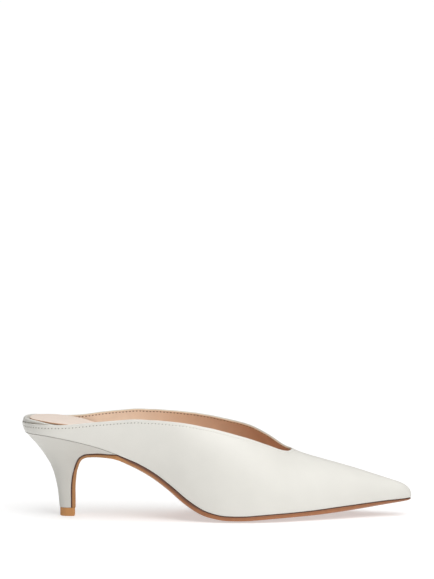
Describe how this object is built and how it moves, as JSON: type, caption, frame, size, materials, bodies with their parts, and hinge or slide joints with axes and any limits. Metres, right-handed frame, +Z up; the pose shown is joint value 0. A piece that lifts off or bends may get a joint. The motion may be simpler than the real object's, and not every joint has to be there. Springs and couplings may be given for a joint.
{
  "type": "stiletto mule",
  "caption": "Pointed backless leather mule with a V-shaped throat, a slim curved low stiletto heel and a tan leather sole that runs down the heel breast.",
  "frame": {"origin": "under the centre of the shoe's bounding box, on the floor", "axes": "+X to the toe, +Y to the inner side of the foot, +Z up"},
  "size_m": [0.26, 0.0774, 0.0691],
  "materials": {
    "white_leather": "smooth off-white, satin",
    "heel_cover": "smooth off-white, satin",
    "insole_cover": "smooth off-white, satin",
    "sole_leather": "smooth tan, satin",
    "sock_leather": "beige, matt",
    "top_piece": "tan, satin"
  },
  "bodies": {
    "root": {"upper": "white_leather", "outsole": "sole_leather", "heel": "heel_cover", "top_piece": "top_piece", "insole": "insole_cover", "sock": "sock_leather"}
  },
  "joints": []
}
